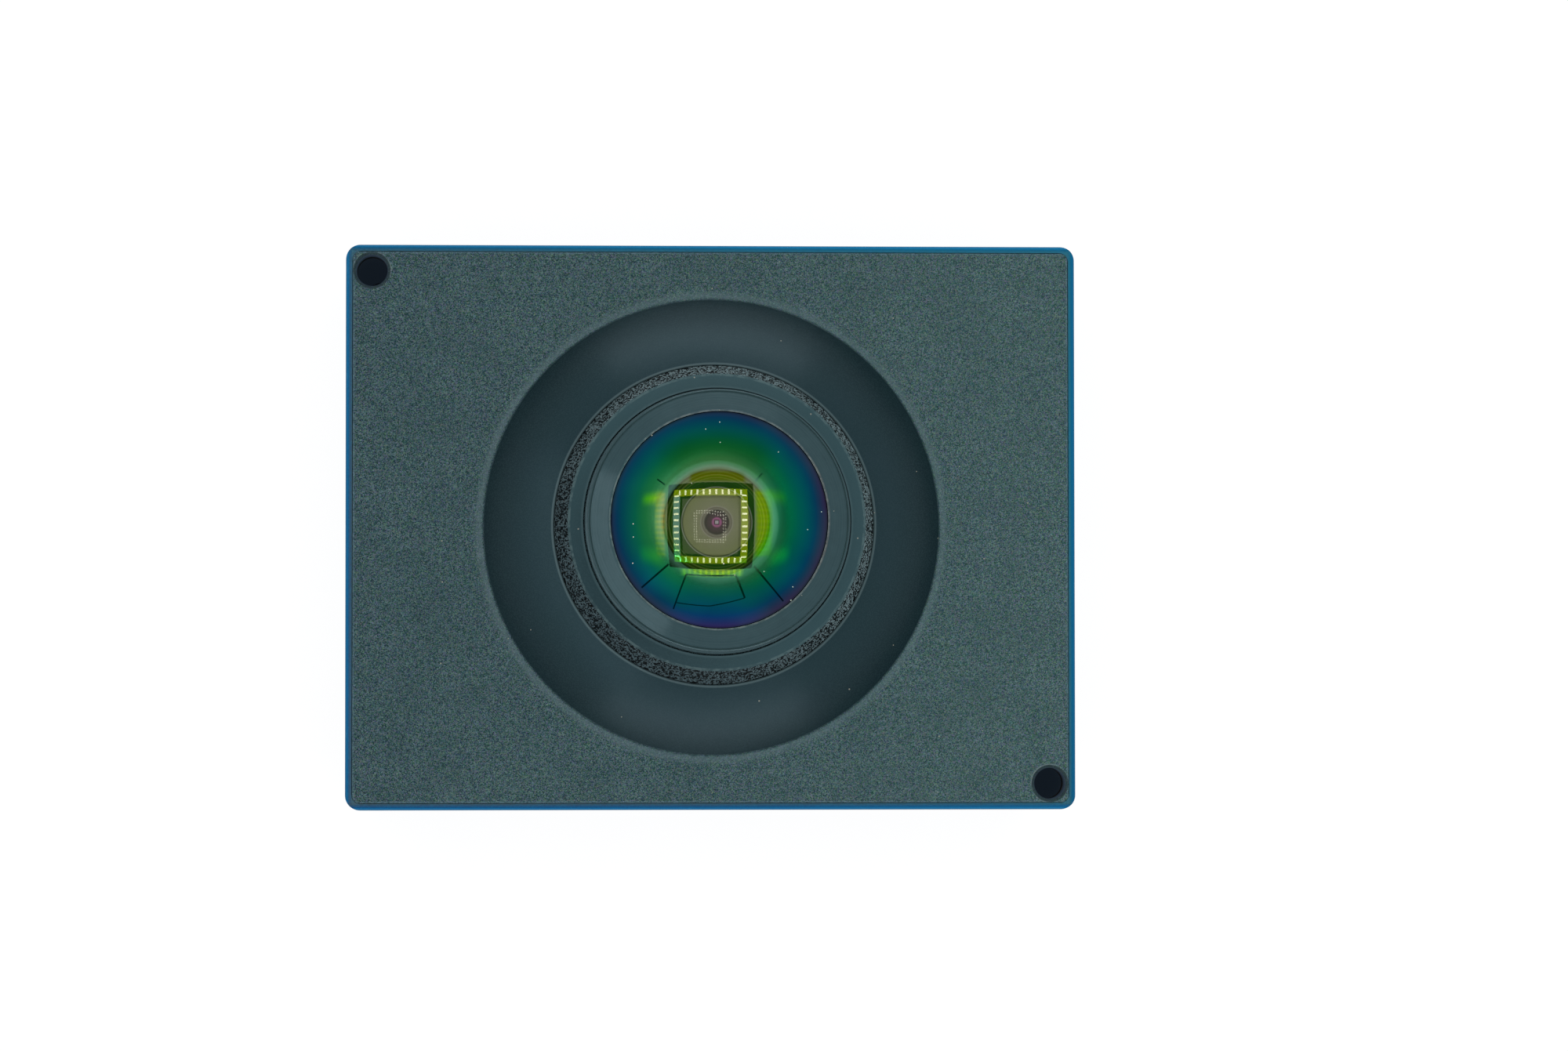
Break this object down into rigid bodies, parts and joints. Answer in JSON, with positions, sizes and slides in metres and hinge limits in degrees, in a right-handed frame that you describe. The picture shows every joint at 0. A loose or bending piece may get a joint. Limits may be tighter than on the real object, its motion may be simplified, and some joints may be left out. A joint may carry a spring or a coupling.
{
  "type": "camera module",
  "caption": "Rectangular camera module with a blue metal housing, a black textured cover, and a wide-angle lens standing out of a smooth cone.",
  "frame": {"origin": "centre of the flat back of the housing", "axes": "+Z along the lens axis towards the scene, +X along the long side, +Y along the short side away from the connector"},
  "size_m": [0.042, 0.0324, 0.034],
  "materials": {
    "housing": "blue anodised, satin",
    "cover": "black moulded, spark-eroded grain, smooth on the cone",
    "lens_metal": "black satin",
    "coated_glass": "polished, green to violet anti-reflection coating",
    "clear_glass": "polished",
    "seal_rubber": "matt",
    "thermal_rubber": "matt",
    "inner_plastic": "matt",
    "circuit_board": "solder mask",
    "chip_plastic": "matt",
    "connector_plastic": "satin",
    "ceramic": "matt",
    "silicon": "polished",
    "steel": "bright",
    "black_steel": "black oxide",
    "contact_brass": "gold flash"
  },
  "bodies": {
    "root": {"rear_housing": "housing", "cover_gasket": "seal_rubber", "front_cover": "cover", "lens_shroud": "cover", "retaining_cap": "lens_metal", "lens_barrel": "lens_metal", "barrel_seal": "seal_rubber", "lens_lock_ring": "lens_metal", "lens_mount": "inner_plastic", "front_element": "coated_glass", "second_element": "clear_glass", "third_element": "clear_glass", "fourth_element": "clear_glass", "rear_element": "clear_glass", "front_spacer": "lens_metal", "middle_spacer": "lens_metal", "aperture_stop": "lens_metal", "rear_spacer": "lens_metal", "infrared_filter": "clear_glass", "sensor_package": "ceramic", "sensor_die": "silicon", "sensor_glass": "clear_glass", "sensor_board": "circuit_board", "main_board": "circuit_board", "mezzanine_plug": "connector_plastic", "mezzanine_socket": "connector_plastic", "processor_chip": "chip_plastic", "memory_chip": "chip_plastic", "shield_can": "steel", "power_inductors": "chip_plastic", "ceramic_capacitors": "ceramic", "board_spacers": "steel", "board_screws": "steel", "mount_screws": "steel", "cover_screws": "black_steel", "thermal_pad": "thermal_rubber", "connector_shell": "steel", "connector_tongue": "chip_plastic", "connector_contacts": "contact_brass"}
  },
  "joints": []
}
